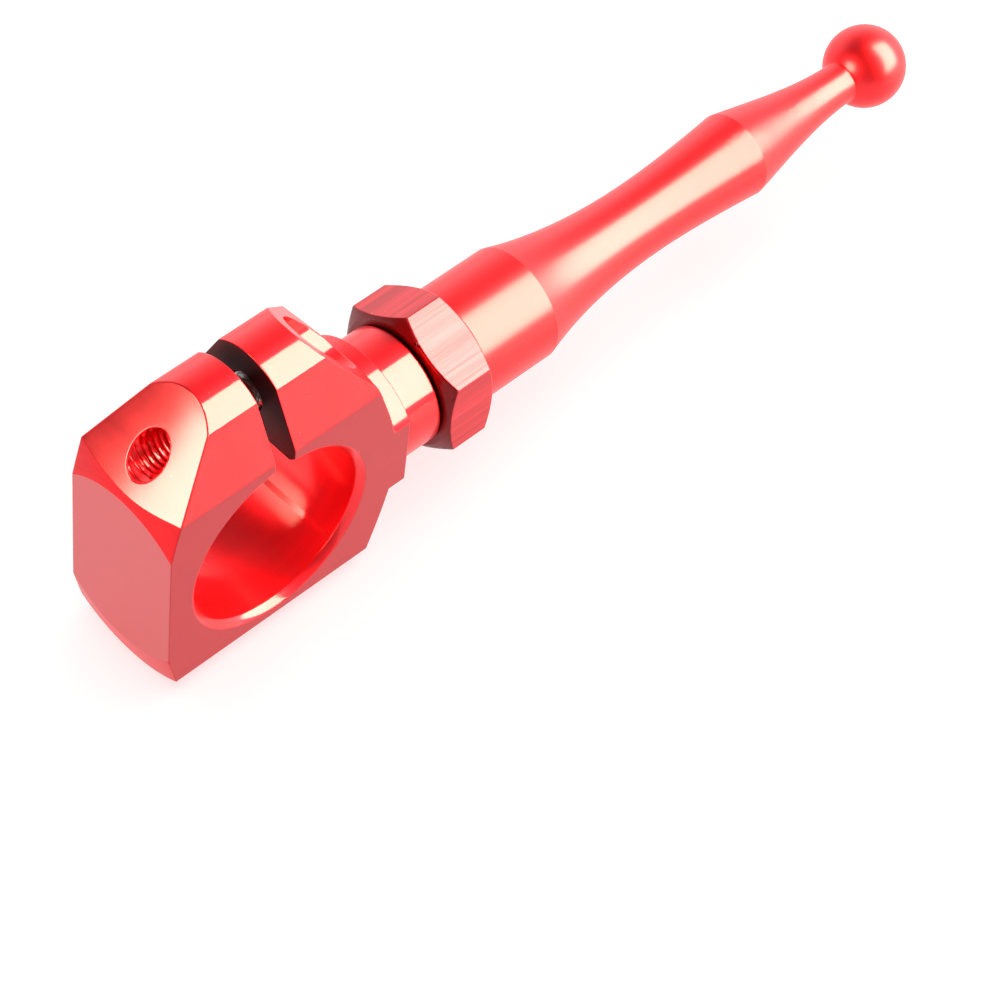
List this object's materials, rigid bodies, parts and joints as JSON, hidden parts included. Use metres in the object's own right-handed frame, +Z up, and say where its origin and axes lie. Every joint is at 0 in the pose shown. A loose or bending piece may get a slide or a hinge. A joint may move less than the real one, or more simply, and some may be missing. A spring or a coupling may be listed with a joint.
{
  "type": "clamp-on control lever",
  "caption": "Control lever with a split clamp for a round tube, closed by one cap screw; a turned arm with a ball end stands on a stud behind a jam nut.",
  "frame": {"origin": "centre of the tube bore, on the lever's own axis", "axes": "+X along the lever towards the ball, +Y along the tube, +Z up through the slit"},
  "size_m": [0.1362, 0.0192, 0.0416],
  "materials": {
    "red_anodised": "bright red anodised over turned and milled faces",
    "screw_steel": "plain zinc plated steel"
  },
  "bodies": {
    "clamp": {"clamp_body": "red_anodised", "lever_stud": "screw_steel"},
    "pinch_screw": {"pinch_screw": "screw_steel"},
    "lock_nut": {"lock_nut": "red_anodised"},
    "lever_arm": {"lever_arm": "red_anodised"}
  },
  "joints": [
    {"name": "pinch_screw_turn", "type": "hinge", "parent": "clamp", "child": "pinch_screw", "pos_m": [0.0036, 0, 0.01785], "axis": [1, 0, 0], "continuous": true},
    {"name": "lock_nut_turn", "type": "hinge", "parent": "clamp", "child": "lock_nut", "pos_m": [0.0307, 0, 0], "axis": [1, 0, 0], "continuous": true},
    {"name": "lever_arm_turn", "type": "hinge", "parent": "clamp", "child": "lever_arm", "pos_m": [0.0346, 0, 0], "axis": [1, 0, 0], "continuous": true}
  ]
}
